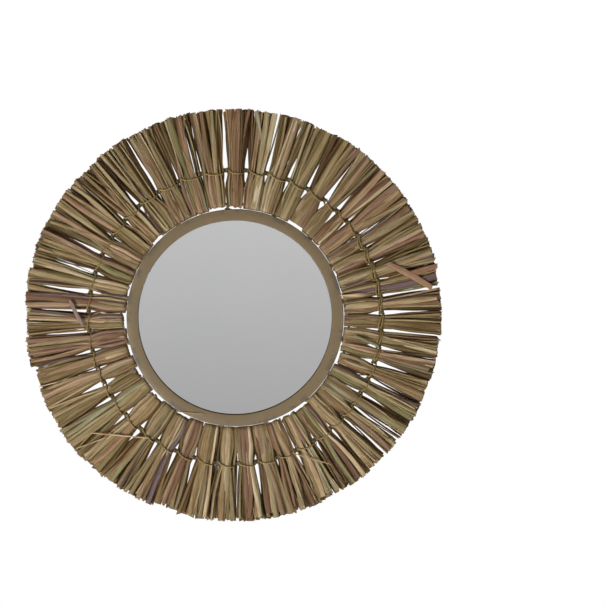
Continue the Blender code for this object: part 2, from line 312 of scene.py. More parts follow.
outline = frame_profile()
ring_points = []
for turn in range(FRAME_TURNS):
    angle = math.tau * turn / FRAME_TURNS
    ring_points += [around(angle, radius, 0, depth) for radius, depth in outline]
frame_ring = new_piece("frame_ring", ring_points, loops_to_faces(FRAME_TURNS, len(outline), True))
frame_ring.data.materials.append(edge_blotched_paint())
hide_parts("frame")
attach(frame_ring, "root")

# The mirror is a plain disc of 3 mm glass, silvered on its back. It sits behind the flange,
# and the board presses it forward. The solid's own mesh is the right shape and stays.
SILVER = (0.9, 0.905, 0.9, 1)
SILVER_HAZE = (0.88, 0.89, 0.885, 1)
SILVER_ROUGHNESS = (0.012, 0.03)
# Painted shadow and reflection of the flange: a thin dark ring on the glass at the flange's edge, set a
# little high so it is wider at the bottom.
PAINTED_FLANGE_SHADE = (0.03, 0.026, 0.022, 1)
PAINTED_FLANGE_SHADE_INSET = 0.0004
PAINTED_FLANGE_SHADE_RADIUS = frame_radius - FLANGE_WIDTH - PAINTED_FLANGE_SHADE_INSET
PAINTED_FLANGE_SHADE_RISE = 0.0004
PAINTED_FLANGE_SHADE_BLUR = 0.0001
HAZE_SCALE = 14
HAZE_GRAIN_SCALE = 160
GLASS_WAVE_DEPTH = 0.004
GLASS_WAVE_HEIGHT = 0.0001


def silvered_glass():
    finish, tree, shader = new_material("silvered_mirror_glass")
    surface = use_uneven(tree, SILVER, SILVER_HAZE, HAZE_SCALE, HAZE_GRAIN_SCALE)
    # Painted shadow and reflection of the flange, as a thin dark ring round the glass's edge.
    reach = use_group(tree, distance_from_axis, {"Axis Height": centre_z + PAINTED_FLANGE_SHADE_RISE})["Distance"]
    painted_flange_shade = spread(tree, reach, 0, 1, PAINTED_FLANGE_SHADE_RADIUS - PAINTED_FLANGE_SHADE_BLUR, PAINTED_FLANGE_SHADE_RADIUS + PAINTED_FLANGE_SHADE_BLUR)
    tree.links.new(blend_colours(tree, painted_flange_shade, surface["Colour"], PAINTED_FLANGE_SHADE), shader.inputs["Base Color"])
    shader.inputs["Metallic"].default_value = 1.0
    tree.links.new(spread(tree, surface["Mottle"], *SILVER_ROUGHNESS), shader.inputs["Roughness"])
    add_relief(tree, shader, surface["Mottle"], GLASS_WAVE_DEPTH, GLASS_WAVE_HEIGHT)
    return finish


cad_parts["mirror_glass"].data.materials.clear()
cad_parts["mirror_glass"].data.materials.append(silvered_glass())

# The back board is a disc of brown hardboard, smooth side out, pressed from wood fibre.
# It lies against the glass inside the rim. The solid's own mesh stays.
HARDBOARD = (0.190, 0.100, 0.058, 1)
HARDBOARD_SHADE = (0.152, 0.078, 0.043, 1)
HARDBOARD_GRAIN = (0.098, 0.050, 0.029, 1)
HARDBOARD_FLECK = (0.35, 0.235, 0.155, 1)
HARDBOARD_FIBRE = (0.06, 0.033, 0.02, 1)
HARDBOARD_ROUGHNESS = (0.55, 0.8)
HARDBOARD_GLOSS = 0.3
HARDBOARD_MOTTLE_SCALE = 25
HARDBOARD_GRAIN_SCALE = 700
HARDBOARD_GRAIN_DEPTH = 0.25
HARDBOARD_GRAIN_HEIGHT = 0.0003
GRAIN_MASK = (0, 0.75, 0.48, 0.62)
FLECK_SCALE = 520.0
FLECK_MASK = (0, 0.42, 0.65, 0.72)
FIBRE_TURN = (0, 0.6, 0)
FIBRE_STRETCH = (1400, 1, 90)
FIBRE_MASK = (0, 0.55, 0.63, 0.74)


def pressed_hardboard():
    """Mottled brown, with darker grain, pale flecks and slanting dark fibres."""
    finish, tree, shader = new_material("brown_hardboard")
    surface = use_uneven(tree, HARDBOARD, HARDBOARD_SHADE, HARDBOARD_MOTTLE_SCALE,
                         HARDBOARD_GRAIN_SCALE)
    place = object_place(tree)
    flecks = add_noise(tree, place, FLECK_SCALE, 2.0)
    slanted = add_node(tree, "ShaderNodeMapping",
                       {"Vector": place, "Rotation": FIBRE_TURN, "Scale": FIBRE_STRETCH})
    fibres = add_noise(tree, slanted.outputs[0], 1.0, 2.0)
    patterns = ((surface["Grain"], GRAIN_MASK, HARDBOARD_GRAIN), (flecks, FLECK_MASK, HARDBOARD_FLECK),
                (fibres, FIBRE_MASK, HARDBOARD_FIBRE))
    colour = surface["Colour"]
    for pattern, mask, tint in patterns:
        colour = blend_colours(tree, spread(tree, pattern, *mask), colour, tint)
    tree.links.new(colour, shader.inputs["Base Color"])
    tree.links.new(spread(tree, flecks, *HARDBOARD_ROUGHNESS), shader.inputs["Roughness"])
    shader.inputs["Specular IOR Level"].default_value = HARDBOARD_GLOSS
    add_relief(tree, shader, surface["Grain"], HARDBOARD_GRAIN_DEPTH, HARDBOARD_GRAIN_HEIGHT)
    return finish


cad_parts["back_board"].data.materials.clear()
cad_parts["back_board"].data.materials.append(pressed_hardboard())

# The hanger is a punched steel plate with a keyhole. Its top lies on the rim's back edge,
# where weld beads at both corners hold it. It was coated with the frame and chipped since.
PLATE_CORNER = 0.002
KEYHOLE_RADIUS = 0.00495
KEYHOLE_DROP = 0.0184
SLOT_WIDTH = 0.0047
METAL_ABOVE_SLOT = 0.0048
SHOULDER_FLARE = 0.0005
PLATE_EDGE_BREAK = 0.0002
PLATE_BREAK_ANGLE = 50
PLATE_SHARP_ANGLE = 40
PLATE_CHIPS = 1.0
KEYHOLE_STEPS = 40
SLOT_STEPS = 16
CORNER_STEPS = 6
LUMP_UNEVENNESS = (0.85, 1.12)
BEAD_STAND_OFF = 0.0001
BEAD_DROP = 0.0012
BEAD_HEIGHT = 0.0011
BEAD_SQUASH = 0.8
BEAD_SHARP_ANGLE = 80
WELD_LUMPS = (
    (-0.0068, 0.0019, 0.0021, 0.9),
    (-0.0048, 0.0026, 0.0016, 0.7),
    (-0.0081, 0.0006, 0.0013, 0.8),
    (0.0073, 0.0016, 0.0017, 0.8),
    (0.0056, 0.0023, 0.0013, 0.6),
)

plate_low, plate_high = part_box("hanger_plate")


def arc(x, z, radius, start, end, steps):
    turns = [start + (end - start) * step / steps for step in range(steps + 1)]
    return [(x + radius * math.cos(turn), z + radius * math.sin(turn)) for turn in turns]


def plate_outline():
    quarter = math.pi / 2
    left, right = plate_low[0] + PLATE_CORNER, plate_high[0] - PLATE_CORNER
    bottom, top = plate_low[2] + PLATE_CORNER, plate_high[2] - PLATE_CORNER
    points = []
    for number, (x, z) in enumerate(((right, top), (left, top), (left, bottom), (right, bottom))):
        points += arc(x, z, PLATE_CORNER, quarter * number, quarter * (number + 1), CORNER_STEPS)
    return points


def keyhole_outline():
    half_slot = SLOT_WIDTH / 2
    keyhole_z = plate_high[2] - KEYHOLE_DROP
    shoulder = math.asin((half_slot + SHOULDER_FLARE) / KEYHOLE_RADIUS)
    neck_z = keyhole_z + KEYHOLE_RADIUS * math.cos(shoulder) + SHOULDER_FLARE
    right = math.pi / 2 - shoulder
    points = arc(0, keyhole_z, KEYHOLE_RADIUS, right, right + 2 * shoulder - math.tau, KEYHOLE_STEPS)
    points.append((-half_slot, neck_z))
    points += arc(0, plate_high[2] - METAL_ABOVE_SLOT - half_slot, half_slot, math.pi, 0, SLOT_STEPS)
    points.append((half_slot, neck_z))
    return points


def make_plate():
    """The punched blank: both outlines filled as one face, drawn out and its edges broken."""
    shape = bmesh.new()
    edges = []
    for points in (plate_outline(), keyhole_outline()):
        corners = [shape.verts.new((x, plate_high[1], z)) for x, z in points]
        edges += [shape.edges.new((corners[i - 1], corners[i])) for i in range(len(corners))]
    bmesh.ops.triangle_fill(shape, edges=edges, use_beauty=True)
    blank = bmesh.ops.extrude_face_region(shape, geom=shape.faces[:])
    drawn = [item for item in blank["geom"] if isinstance(item, bmesh.types.BMVert)]
    bmesh.ops.translate(shape, verts=drawn, vec=(0, plate_low[1] - plate_high[1], 0))
    bmesh.ops.recalc_face_normals(shape, faces=shape.faces)
    mesh = bpy.data.meshes.new("keyhole_hanger_plate")
    shape.to_mesh(mesh)
    shape.free()
    piece = add_object("keyhole_hanger_plate", mesh)
    broken = piece.modifiers.new("broken_edges", "BEVEL")
    broken.width = PLATE_EDGE_BREAK
    broken.segments = 2
    broken.limit_method = "ANGLE"
    broken.angle_limit = math.radians(PLATE_BREAK_ANGLE)
    mesh.shade_smooth()
    mesh.set_sharp_from_angle(angle=math.radians(PLATE_SHARP_ANGLE))
    return piece


def add_lump(vertices, faces, centre, size, rng, rows=7, columns=12):
    """One uneven bead of weld metal, as a squashed ball."""
    start = len(vertices)
    bumps = [rng.uniform(*LUMP_UNEVENNESS) for _ in range(columns)]
    for row in range(1, rows):
        rise = math.pi * row / rows
        for column in range(columns):
            turn = math.tau * column / columns
            out = math.sin(rise) * bumps[column]
            vertices.append((centre[0] + size[0] * out * math.cos(turn),
                             centre[1] + size[1] * math.cos(rise),
                             centre[2] + size[2] * out * math.sin(turn)))
    faces += loops_to_faces(rows - 1, columns, False, start)


plate_paint = painted_steel("taupe_plate_paint", PLATE_CHIPS)
hanger = make_plate()
hanger.data.materials.append(plate_paint)
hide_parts("hanger_plate")
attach(hanger, "root")

weld_hand = random.Random(3)
weld_points = []
weld_faces = []
for bead_x, bead_rise, bead_size, bead_height in WELD_LUMPS:
    bead_centre = (bead_x, plate_low[1] - BEAD_STAND_OFF, plate_high[2] + bead_rise - BEAD_DROP)
    bead_box = (bead_size, BEAD_HEIGHT * bead_height, bead_size * BEAD_SQUASH)
    add_lump(weld_points, weld_faces, bead_centre, bead_box, weld_hand)
hanger_welds = new_piece("hanger_weld_beads", weld_points, weld_faces, BEAD_SHARP_ANGLE)
hanger_welds.data.materials.append(plate_paint)
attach(hanger_welds, "root")

# The leaf wire is one steel wire bent to a ring in the leaf folds, carried by short stubs
# that are welded to the rim and coated with it. Each stub has a weld lump on either side.
WIRE_RADIUS = 0.00125
WIRE_TURNS = 240
WIRE_SIDES = 10
WIRE_CHIPS = 0.4
WIRE_SHARP_ANGLE = 60
RING_DEPTH_IN_RADII = 3
RING_INSET_IN_RADII = 1.2
STUB_APART_DEGREES = 3
STUB_SINK = 0.0002
STUB_COLLAR = 0.0008
STUB_SWELLS = (1.35, 1.0, 0.95)
STUB_WELD = 0.0017
WELD_ROWS = 6
WELD_COLUMNS = 10
WELD_STAND_OFF = 0.0002
WELD_SIDEWAYS = (0.4, 0.9)
WELD_FORWARD = 0.0012
WELD_SIZES = (0.6, 0.95)
WELD_SQUASH = 0.9

wire_low, wire_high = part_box("leaf_wire")
wire_y = (wire_low[1] + wire_high[1]) / 2


def polar(node):
    """Directions, clockwise from the top, and distances out of a CAD node's corners."""
    corners = np.array([tuple(corner.co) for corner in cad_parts[node].data.vertices])
    x, z = corners[:, 0], corners[:, 2] - centre_z
    return np.arctan2(x, z), np.hypot(x, z)


wire_angles, wire_radii = polar("leaf_wire")
ring_inside = np.median(wire_radii) - RING_DEPTH_IN_RADII * WIRE_RADIUS
wire_ring_radius = float(wire_radii.max()) - RING_INSET_IN_RADII * WIRE_RADIUS
stub_angles = []
for stub_angle in sorted(wire_angles[wire_radii < ring_inside]):
    if not stub_angles or stub_angle - stub_angles[-1][-1] > math.radians(STUB_APART_DEGREES):
        stub_angles.append([])
    stub_angles[-1].append(stub_angle)
stub_angles = [sum(group) / len(group) for group in stub_angles]

section_turns = [math.tau * side / WIRE_SIDES for side in range(WIRE_SIDES)]
section = [(math.cos(turn) * WIRE_RADIUS, math.sin(turn) * WIRE_RADIUS) for turn in section_turns]
wire_points = []
for turn in range(WIRE_TURNS):
    angle = math.tau * turn / WIRE_TURNS
    wire_points += [around(angle, wire_ring_radius + out, 0, wire_y + back) for out, back in section]
wire_faces = loops_to_faces(WIRE_TURNS, WIRE_SIDES, True)
stub_hand = random.Random(5)
stub_reaches = (frame_radius - STUB_SINK, frame_radius + STUB_COLLAR, wire_ring_radius)
for stub_angle in stub_angles:
    start = len(wire_points)
    for radius, swell in zip(stub_reaches, STUB_SWELLS):
        for side, back in section:
            wire_points.append(around(stub_angle, radius, side * swell, wire_y + back * swell))
    wire_faces += loops_to_faces(len(stub_reaches), WIRE_SIDES, False, start)
    for side in (-1, 1):
        spot = stub_angle + side * stub_hand.uniform(*WELD_SIDEWAYS) * STUB_WELD / frame_radius
        lump_y = wire_y - stub_hand.uniform(0, WELD_FORWARD)
        lump_centre = around(spot, frame_radius + WELD_STAND_OFF, 0, lump_y)
        lump_size = STUB_WELD * stub_hand.uniform(*WELD_SIZES)
        lump_box = (lump_size, lump_size * WELD_SQUASH, lump_size)
        add_lump(wire_points, wire_faces, lump_centre, lump_box, stub_hand, WELD_ROWS, WELD_COLUMNS)
leaf_ring = new_piece("leaf_wire_ring", wire_points, wire_faces, WIRE_SHARP_ANGLE)
leaf_ring.data.materials.append(painted_steel("taupe_wire_paint", WIRE_CHIPS))
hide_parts("leaf_wire")
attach(leaf_ring, "root")

# Each bundle is twenty strips of dried palm leaf, folded over the wire so that both
# halves lie together, tied at the waist and cut off at the tips. The strips keep the
# leaf's parallel veins and have dried khaki, straw, pinkish and reddish brown.
# Each layer: its strips, its depth share and a painted shade that darkens the inner layers, standing for the
# shadow between strips.
LEAF_LAYERS = ((9, 1.0, 1.0), (6, 0.45, 0.58), (5, 0.1, 0.36))
BLADE_WIDTH = (0.0022, 0.0066)
STALK_WIDTH = (0.0012, 0.0022)
STALK_SHARE = 0.3
LEAF_THICKNESS = 0.0003
FRONT_GIVE = 0.0008
LEAF_SECTION = (-1, -0.5, 0, 0.5, 1)
TIE_HALF_DEPTH = 0.0041
TIP_HALF_DEPTH = 0.0074
FOLD_BULGE = 0.0046
FOLD_REACH = (0.0018, 0.0046)
FOLD_UNEVENNESS = 0.22
FRAME_GAP = 0.0002
RIM_GIVE = 0.0005
WAIST_GAP = (0.0032, 0.0059)
BACK_WAIST_SPREAD = (0.0006, 0.0042)
TIP_OVERLAP = (-0.0021, 0.0012)
FOLD_OVERLAP = -0.0001
BUNDLE_LEAN = 0.0007
FOLD_SHIFT = (-0.0046, 0.0034)
RAGGED_TOP = 0.0011
RAGGED_BOTTOM = 0.0028
CUT_SLANT = 0.0005
CROSSING_LEAVES = 0.2
TIP_SCATTER = 0.19
FOLD_SCATTER = 0.18
WAIST_SCATTER = 0.09
BACK_SCATTER = 0.25
WAIST_PACKING = 0.8
CROWN_SPAN = 0.94
TIP_DEPTH_SHARES = (0.35, 0.65)
TIP_DEPTH_RANGE = (0.42, 1.0)
TIE_DEPTH_RANGE = (0.8, 1.0)
BULGE_SHARES = (0.2, 0.8)
BULGE_RANGE = (0.6, 1.08)
BULGE_FULLNESS = 0.9
FAN_POWER = 0.75
TIP_CURL = 0.0007
CURL_START = 0.6
LEAF_SWAY = 0.0009
SPREADING_END = 0.62
FOLD_PAST_RING = 0.0006
LOOP_SPAN = 0.96
LOOP_CLEARANCE = 0.0004
LOOP_BUILD_UP = 0.0023
LOOP_RANGE = (0.7, 1.1)
REACH_SHARES = (0.4, 0.6)
WAIST_WIDTH = 0.7
LOOP_WIDTH = 0.74
FAN_WIDENING = 0.3
FAN_WIDENING_RATE = 2.2
FOLD_WIDENING = 0.25
LEAN_DEGREES = (24, 56)
LEAN_SCATTER = 15
TWIST_SCATTER = 16
FAN_TILT_LOSS = 0.45
FOLD_TILT_LOSS = 0.5
HOLLOW_SIDES = (-1, -1, 1)
HOLLOW_RANGE = (0.08, 0.4)
WAIST_HOLLOW = -0.2
LOOP_HOLLOW = -0.1
HOLLOW_LEVEL = 0.4
EDGE_THINNING = 0.5
FAN_START = 0.01
LEAF_SHARP_ANGLE = 50
MILLIMETRES = 1000
FAN_STEPS = (1, 0.93, 0.82, 0.68, 0.52, 0.36, 0.22, 0.1, 0.03)
FOLD_STEPS = (0.0, 0.1, 0.22, 0.38, 0.6, 0.84)
LOOP_STEPS = (-90, -55, -20, 20, 55, 90)
LEAF_TONES = (
    ((0.232, 0.177, 0.089), 6),
    ((0.196, 0.151, 0.071), 5),
    ((0.285, 0.220, 0.120), 4),
    ((0.345, 0.272, 0.165), 2),
    ((0.263, 0.175, 0.103), 3),
    ((0.172, 0.103, 0.062), 2),
    ((0.205, 0.176, 0.103), 2),
    ((0.104, 0.067, 0.068), 1),
    ((0.160, 0.139, 0.060), 2),
)
STRIP_BRIGHTNESS = (0.50, 1.13)
# Per-channel powers of each darkening, so that painted shade and darker strips turn redder and deeper, as
# leaf in shadow looks.
SHADE_POWERS = (0.75, 1.0, 1.38)
TONE_SCATTER = (0.96, 1.04)
MOOD_RANGE = (0.4, 1.6)
STRIP_OFFSET = 37.0
# Painted shade: how far each strip darkens towards its edges.
PAINTED_EDGE_SHADE = (1, 0.4, 0.8, 1)
VEIN_LIGHT = (0.7, 1.26)
BROAD_LIGHT = (0.7, 1.28)
BLOTCH_TINT = (0.84, 0.66, 0.62, 1)
BLOTCH_MASK = (0, 0.75, 0.52, 0.68)
SPECK_TINT = (0.42, 0.34, 0.3, 1)
SPECK_MASK = (0, 0.8, 0.66, 0.76)
LEAF_ROUGHNESS = (0.5, 0.72)
LEAF_GLOSS = 0.22
VEIN_DEPTH = 0.35
VEIN_HEIGHT = 0.0002

_, twine_radii = polar("twine")
tie_radius = float(twine_radii.min() + twine_radii.max()) / 2


def leaf_material():
    """Parallel veins and blotches that follow each strip, laid over the strip's own tone, with painted shade
    towards each strip's edges.
    """
    finish, tree, shader = new_material("dried_palm_leaf")
    strip = add_node(tree, "ShaderNodeAttribute", attribute_name="leaf_tone").outputs
    place = add_node(tree, "ShaderNodeAttribute", attribute_name="leaf_place").outputs["Vector"]

    def streaks(across, along, detail):
        stretch = (across, along, STRIP_OFFSET)
        scaled = add_node(tree, "ShaderNodeVectorMath", {0: place, 1: stretch}, operation="MULTIPLY")
        return add_noise(tree, scaled.outputs[0], 1.0, detail)

    broad = streaks(0.75, 0.02, 2.0)
    veins = streaks(2.6, 0.05, 2.0)
    fine = streaks(9.0, 0.12, 1.0)
    blotches = streaks(0.4, 0.09, 3.0)
    specks = streaks(1.6, 0.8, 2.0)
    # Painted shade: each strip darker towards its edges, as if it curved away from the light.
    edge_shade_and_veins = spread(tree, strip["Alpha"], *PAINTED_EDGE_SHADE)
    for lines, limits in ((veins, VEIN_LIGHT), (broad, BROAD_LIGHT)):
        edge_shade_and_veins = calculate(tree, "MULTIPLY", edge_shade_and_veins, spread(tree, lines, *limits))
    powers = [calculate(tree, "POWER", edge_shade_and_veins, power) for power in SHADE_POWERS]
    edge_shade_and_veins = add_node(tree, "ShaderNodeCombineColor", dict(enumerate(powers))).outputs[0]
    colour = blend_colours(tree, 1.0, strip["Color"], edge_shade_and_veins, "MULTIPLY")
    for pattern, mask, tint in ((blotches, BLOTCH_MASK, BLOTCH_TINT), (specks, SPECK_MASK, SPECK_TINT)):
        darker = blend_colours(tree, 1.0, colour, tint, "MULTIPLY")
        colour = blend_colours(tree, spread(tree, pattern, *mask), colour, darker)
    tree.links.new(colour, shader.inputs["Base Color"])
    tree.links.new(spread(tree, fine, *LEAF_ROUGHNESS), shader.inputs["Roughness"])
    shader.inputs["Specular IOR Level"].default_value = LEAF_GLOSS
    add_relief(tree, shader, calculate(tree, "ADD", veins, fine), VEIN_DEPTH, VEIN_HEIGHT)
    return finish


def bundle_place(node):
    """Where a bundle's CAD solid stands: its direction, half its sector and its reach."""
    angles, radii = polar(node)
    if angles.max() - angles.min() > math.pi:
        angles = angles % math.tau
    fan = angles[radii > tie_radius + FAN_START]
    return float(fan.min() + fan.max()) / 2, float(fan.max() - fan.min()) / 2, float(radii.max())


def smooth_step(value):
    value = np.clip(value, 0, 1)
    return value * value * (3 - 2 * value)


def half_leaf(rng, spot, layer, side, place, habit, loop, width):
    """One half of a folded strip, from its cut tip in to the wire, as points out, across and deep."""
    angle, half_angle, reach = place
    waist_gap, back_spread, tip_overlap, lean, _ = habit
    flare = math.tan(half_angle)
    if side > 0:
        waist_gap -= back_spread
    ragged = RAGGED_TOP + (RAGGED_BOTTOM - RAGGED_TOP) * (1 - math.cos(angle)) / 2
    length = reach - abs(rng.gauss(0, ragged))
    tip_spot = spot + rng.gauss(0, TIP_SCATTER)
    if layer == 1 and rng.random() < CROSSING_LEAVES:
        tip_spot = rng.uniform(-1, 1)
    across_tip = tip_spot * (length * flare + tip_overlap - width / 2) + lean
    waist_room = tie_radius * flare - (waist_gap + width * WAIST_PACKING) / 2
    across_tie = (spot + rng.gauss(0, WAIST_SCATTER)) * waist_room
    fold_spot = spot + rng.gauss(0, FOLD_SCATTER)
    crown = math.sqrt(max(0.0, 1 - (CROWN_SPAN * spot) ** 2))
    tip_crown = TIP_DEPTH_SHARES[0] + TIP_DEPTH_SHARES[1] * crown
    deep_tip = TIP_HALF_DEPTH * tip_crown * layer * rng.uniform(*TIP_DEPTH_RANGE)
    deep_tie = TIE_HALF_DEPTH * crown * layer * rng.uniform(*TIE_DEPTH_RANGE)
    bulge_crown = BULGE_SHARES[0] + BULGE_SHARES[1] * crown
    bulge = FOLD_BULGE * layer ** 0.5 * bulge_crown * rng.uniform(*BULGE_RANGE)
    curl = rng.gauss(0, TIP_CURL)
    sway = rng.gauss(0, LEAF_SWAY)
    out, across, deep = [], [], []
    for share in FAN_STEPS:
        out.append(tie_radius + (length - tie_radius) * share)
        across.append(across_tie + (across_tip - across_tie) * share + sway * math.sin(math.pi * share))
        curled = curl * max(0, share - CURL_START) / (1 - CURL_START)
        deep.append(deep_tie + (deep_tip - deep_tie) * share ** FAN_POWER + curled)
    for share in FOLD_STEPS:
        eased = float(smooth_step(share))
        spreading = float(smooth_step(share / SPREADING_END))
        out.append(tie_radius + (wire_ring_radius + FOLD_PAST_RING - tie_radius) * share)
        edge = out[-1] * flare + FOLD_OVERLAP - width / 2
        across.append(across_tie * (1 - spreading) + fold_spot * edge * spreading)
        middle = deep_tie + (loop - deep_tie) * eased
        deep.append(middle + (bulge - deep_tie) * math.sin(math.pi * share) * BULGE_FULLNESS)
    across_fold = fold_spot * (wire_ring_radius * flare + FOLD_OVERLAP - width / 2)
    return np.array(out), np.array(across), wire_y + side * np.array(deep), across_fold


def leaf_strip(rng, spot, layer, place, habit):
    """A whole folded strip as points along its middle, with width, tilt and hollow at each."""
    stalk = rng.random() < STALK_SHARE
    full = rng.uniform(*(STALK_WIDTH if stalk else BLADE_WIDTH))
    crown = math.sqrt(1 - (LOOP_SPAN * spot) ** 2)
    loop = WIRE_RADIUS + LOOP_CLEARANCE + LOOP_BUILD_UP * layer * crown * rng.uniform(*LOOP_RANGE)
    layer_reach = REACH_SHARES[0] + REACH_SHARES[1] * layer
    fold_reach = FOLD_REACH[0] + (FOLD_REACH[1] - FOLD_REACH[0]) * layer_reach * rng.random()
    fold_limit = wire_ring_radius - frame_radius - FRAME_GAP
    fold_reach += habit[4]
    if fold_reach < FOLD_REACH[0]:
        fold_reach = FOLD_REACH[0] + (FOLD_REACH[0] - fold_reach) * FOLD_UNEVENNESS
    fold_reach = min(fold_limit, fold_reach)
    front = half_leaf(rng, spot, layer, -1, place, habit, loop, full)
    back_spot = max(-1.0, min(1.0, spot + rng.gauss(0, BACK_SCATTER)))
    back = half_leaf(rng, back_spot, layer, 1, place, habit, loop, full)
    turns = np.radians(LOOP_STEPS)
    loop_out = wire_ring_radius - fold_reach * np.cos(turns)
    loop_across = np.linspace(front[3], back[3], len(turns))
    loop_deep = wire_y + loop * np.sin(turns)
    line = np.stack([
        np.concatenate([front[0], loop_out, back[0][::-1]]),
        np.concatenate([front[1], loop_across, back[1][::-1]]),
        np.concatenate([front[2], loop_deep, back[2][::-1]]),
    ], axis=1)
    half_widths = []
    for share in FAN_STEPS:
        half_widths.append(full * (WAIST_WIDTH + FAN_WIDENING * min(1, share * FAN_WIDENING_RATE)))
    for share in FOLD_STEPS:
        half_widths.append(full * (WAIST_WIDTH + FOLD_WIDENING * math.sin(math.pi * share)))
    width = np.array(half_widths + [full * LOOP_WIDTH] * len(turns) + half_widths[::-1])
    lean = spot * rng.uniform(*LEAN_DEGREES) + rng.gauss(0, LEAN_SCATTER)
    twist = rng.gauss(0, TWIST_SCATTER)
    half_tilt = [lean * (1 - FAN_TILT_LOSS * share) + twist * share for share in FAN_STEPS]
    half_tilt += [lean * (1 - FOLD_TILT_LOSS * share) for share in FOLD_STEPS]
    tilt = np.radians(np.array(half_tilt + [lean * (1 - FOLD_TILT_LOSS)] * len(turns) + half_tilt[::-1]))
    hollow_tip = rng.choice(HOLLOW_SIDES) * rng.uniform(*HOLLOW_RANGE)
    half_hollow = [hollow_tip * share + WAIST_HOLLOW * (1 - share) for share in FAN_STEPS]
    half_hollow += [WAIST_HOLLOW + (LOOP_HOLLOW - WAIST_HOLLOW) * share for share in FOLD_STEPS]
    hollow = np.array(half_hollow + [LOOP_HOLLOW] * len(turns) + half_hollow[::-1])
    return line, width, tilt, hollow


def strip_mesh(line, width, tilt, hollow, slant):
    """Corners of a thin hollowed strip along a line, in out, across and deep."""
    along = np.gradient(line, axis=0)
    along /= np.linalg.norm(along, axis=1, keepdims=True)
    sideways = np.array([0.0, 1.0, 0.0]) - along * along[:, 1:2]
    sideways /= np.linalg.norm(sideways, axis=1, keepdims=True)
    outward = np.cross(along, sideways)
    leaning = sideways * np.cos(tilt)[:, None] + outward * np.sin(tilt)[:, None]
    facing = outward * np.cos(tilt)[:, None] - sideways * np.sin(tilt)[:, None]
    rings = []
    for face, shares in ((1, LEAF_SECTION), (-1, LEAF_SECTION[::-1])):
        for share in shares:
            lift = hollow * width * (share * share - HOLLOW_LEVEL)
            thick = LEAF_THICKNESS * (1 - EDGE_THINNING * abs(share)) / 2
            point = line + leaning * (share * width / 2)[:, None] + facing * (lift + face * thick)[:, None]
            rings.append(point)
    corners = np.stack(rings, axis=1)
    shares = np.array(LEAF_SECTION + LEAF_SECTION[::-1])
    for end, step in ((0, along[0]), (-1, -along[-1])):
        corners[end] += step * (shares * slant)[:, None]
    across = shares[None, :] * width[:, None] / 2 * MILLIMETRES
    steps = np.linalg.norm(np.diff(line, axis=0), axis=1)
    lengths = np.concatenate([[0], np.cumsum(steps)]) * MILLIMETRES
    return corners, across, np.repeat(lengths[:, None], len(shares), axis=1)


def pick_tone(rng, mood, painted_layer_shade):
    """A strip's colour: one of the leaf's dried tones by its bundle's mood, darkened by its layer's painted
    shade, and redder where darker.
    """
    weights = [weight * mood[number] for number, (_, weight) in enumerate(LEAF_TONES)]
    tone = rng.choices(LEAF_TONES, weights)[0][0]
    bright = rng.uniform(*STRIP_BRIGHTNESS) * painted_layer_shade
    tint = []
    for channel, power in zip(tone, SHADE_POWERS):
        tint.append(channel * bright ** power * rng.uniform(*TONE_SCATTER))
    return tint


def soft_stop(depths, front, give):
    """Depths or reaches eased to a stop, so that strips keep the order in which they lie."""
    squeezed = front + give * np.exp((np.minimum(depths, front + give) - front - give) / give)
    return np.where(depths < front + give, squeezed, depths)


def add_leaf_piece(name, points, faces, tones, places, finish):
    """A mesh of leaf strips that keeps each strip's tone and the way its veins run."""
    points[:, 1] = soft_stop(points[:, 1], cad_box[0][1], FRONT_GIVE)
    inside = np.clip(points, cad_box[0], cad_box[1])
    piece = new_piece(name, inside.tolist(), faces, LEAF_SHARP_ANGLE)
    tone_layer = piece.data.attributes.new("leaf_tone", "FLOAT_COLOR", "POINT")
    tone_layer.data.foreach_set("color", np.concatenate(tones).ravel())
    place_layer = piece.data.attributes.new("leaf_place", "FLOAT_VECTOR", "POINT")
    place_layer.data.foreach_set("vector", np.concatenate(places).ravel())
    piece.data.materials.append(finish)
    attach(piece, "root")


def tone_rows(tone, stations):
    """One strip's tone at its corners, with how near each corner is to the edge as alpha."""
    edges = np.abs(np.array(LEAF_SECTION + LEAF_SECTION[::-1]))
    rows = np.empty((stations, len(edges), 4))
    rows[:, :, :3] = tone
    rows[:, :, 3] = edges
    return rows.reshape(-1, 4)


def make_bundle(node, name, rng, finish):
    place = bundle_place(node)
    angle = place[0]
    mood = [rng.uniform(*MOOD_RANGE) for _ in LEAF_TONES]
    habit = [rng.uniform(*WAIST_GAP), rng.uniform(*BACK_WAIST_SPREAD), rng.uniform(*TIP_OVERLAP)]
    habit.append(rng.gauss(0, BUNDLE_LEAN))
    habit.append(FOLD_SHIFT[1] - (FOLD_SHIFT[1] - FOLD_SHIFT[0]) * rng.random() ** 2)
    spots = []
    for count, layer, painted_layer_shade in LEAF_LAYERS:
        spots += [(number / (count - 1) * 2 - 1, layer, painted_layer_shade) for number in range(count)]
    points, faces, tones, places = [], [], [], []
    size = 2 * len(LEAF_SECTION)
    for spot, layer, painted_layer_shade in spots:
        line, width, tilt, hollow = leaf_strip(rng, spot, layer, place, habit)
        corners, across, along = strip_mesh(line, width, tilt, hollow, rng.gauss(0, CUT_SLANT))
        faces += loops_to_faces(len(line), size, False, sum(len(part) for part in points))
        corners = corners.reshape(-1, 3)
        points.append(corners)
        tones.append(tone_rows(pick_tone(rng, mood, painted_layer_shade), len(line)))
        chance = rng.random()
        places.append(np.stack([across.ravel(), along.ravel(), np.full(len(corners), chance)], axis=1))
    local = np.concatenate(points)
    local[:, 0] = soft_stop(local[:, 0], frame_radius + FRAME_GAP, RIM_GIVE)
    world = np.stack(around(angle, local[:, 0], local[:, 1], local[:, 2]), axis=1)
    add_leaf_piece(name, world, faces, tones, places, finish)
    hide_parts(node)


leaf_finish = leaf_material()
leaf_hand = random.Random(11)
bundle_nodes = sorted(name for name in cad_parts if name.startswith("bundle_"))
for bundle_node in bundle_nodes:
    make_bundle(bundle_node, "leaf_" + bundle_node, leaf_hand, leaf_finish)

